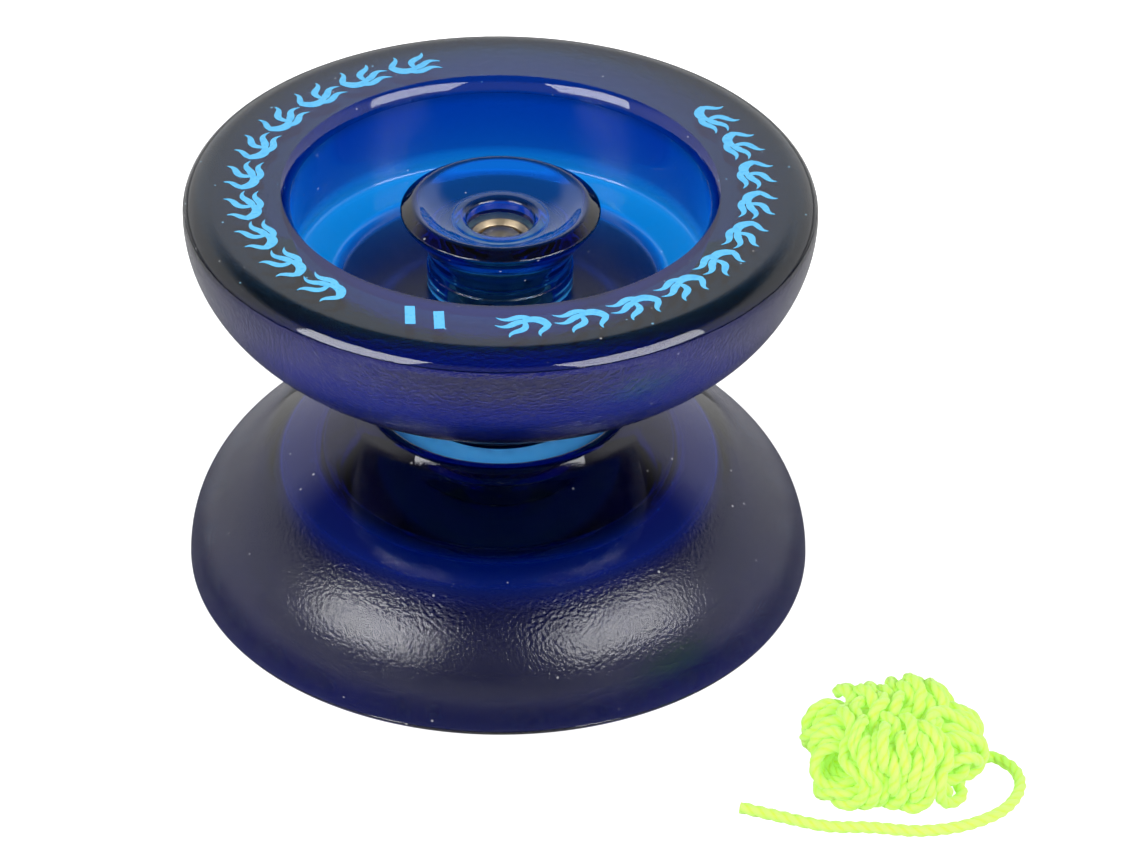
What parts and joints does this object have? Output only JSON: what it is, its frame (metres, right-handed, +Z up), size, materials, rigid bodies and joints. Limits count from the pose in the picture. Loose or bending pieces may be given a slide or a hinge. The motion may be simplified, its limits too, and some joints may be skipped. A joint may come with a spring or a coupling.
{
  "type": "yo yo",
  "caption": "Butterfly yo-yo: two translucent flared halves on a threaded axle, with a ball bearing, response pads, pull-off hub caps and a loose string.",
  "frame": {"origin": "middle of the lower rim, on the surface that the yo-yo stands on", "axes": "+Z up along the spin axis; the loose string lies towards +X and -Y"},
  "size_m": [0.0745, 0.0689, 0.0402],
  "materials": {
    "shell_plastic": "translucent navy blue, finely textured outside and polished inside the bowl",
    "rim_plastic": "dark navy, high gloss, with a light-blue printed flame pattern",
    "cap_plastic": "clear blue, high gloss",
    "pad_silicone": "light-blue matte silicone",
    "nut_brass": "turned brass, pale",
    "axle_steel": "threaded steel",
    "spacer_aluminium": "turned aluminium",
    "bearing_steel": "ground bearing steel",
    "shield_steel": "pressed steel",
    "cage_nylon": "natural nylon",
    "string_cotton": "neon-yellow twisted yarn"
  },
  "bodies": {
    "lower_half": {"lower_body_shell": "shell_plastic", "lower_rim_ring": "rim_plastic", "lower_response_pad": "pad_silicone", "lower_axle_nut": "nut_brass", "axle": "axle_steel", "lower_bearing_spacer": "spacer_aluminium", "bearing_inner_race": "bearing_steel", "string_hank": "string_cotton", "string_tail": "string_cotton"},
    "lower_cap": {"lower_hub_cap": "cap_plastic"},
    "bearing_outer": {"bearing_outer_race": "bearing_steel", "lower_bearing_shield": "shield_steel", "upper_bearing_shield": "shield_steel", "lower_shield_clip": "shield_steel", "upper_shield_clip": "shield_steel"},
    "bearing_balls": {"bearing_cage": "cage_nylon", "bearing_ball_1": "bearing_steel", "bearing_ball_2": "bearing_steel", "bearing_ball_3": "bearing_steel", "bearing_ball_4": "bearing_steel", "bearing_ball_5": "bearing_steel", "bearing_ball_6": "bearing_steel", "bearing_ball_7": "bearing_steel", "bearing_ball_8": "bearing_steel"},
    "upper_spacer": {"upper_bearing_spacer": "spacer_aluminium"},
    "upper_half": {"upper_body_shell": "shell_plastic", "upper_rim_ring": "rim_plastic", "upper_response_pad": "pad_silicone", "upper_axle_nut": "nut_brass"},
    "upper_cap": {"upper_hub_cap": "cap_plastic"}
  },
  "joints": [
    {"name": "bearing_spin", "type": "hinge", "parent": "lower_half", "child": "bearing_outer", "pos_m": [0, 0, 0.0201], "axis": [0, 0, 1], "continuous": true},
    {"name": "ball_cage_spin", "type": "hinge", "parent": "lower_half", "child": "bearing_balls", "pos_m": [0, 0, 0.0201], "axis": [0, 0, 1], "continuous": true},
    {"name": "upper_half_unscrew", "type": "hinge", "parent": "lower_half", "child": "upper_spacer", "pos_m": [0, 0, 0.0201], "axis": [0, 0, 1], "range_deg": [0, 3240]},
    {"name": "upper_half_rise", "type": "slide", "parent": "upper_spacer", "child": "upper_half", "axis": [0, 0, 1], "range_m": [0, 0.0063]},
    {"name": "upper_cap_pull", "type": "slide", "parent": "upper_half", "child": "upper_cap", "axis": [0, 0, 1], "range_m": [0, 0.008]},
    {"name": "lower_cap_pull", "type": "slide", "parent": "lower_half", "child": "lower_cap", "axis": [0, 0, -1], "range_m": [0, 0.008]}
  ],
  "couplings": [
    {"joint": "ball_cage_spin", "follows": "bearing_spin", "ratio": 0.605},
    {"joint": "upper_half_rise", "follows": "upper_half_unscrew", "m_per_rad": 0.00011141}
  ]
}
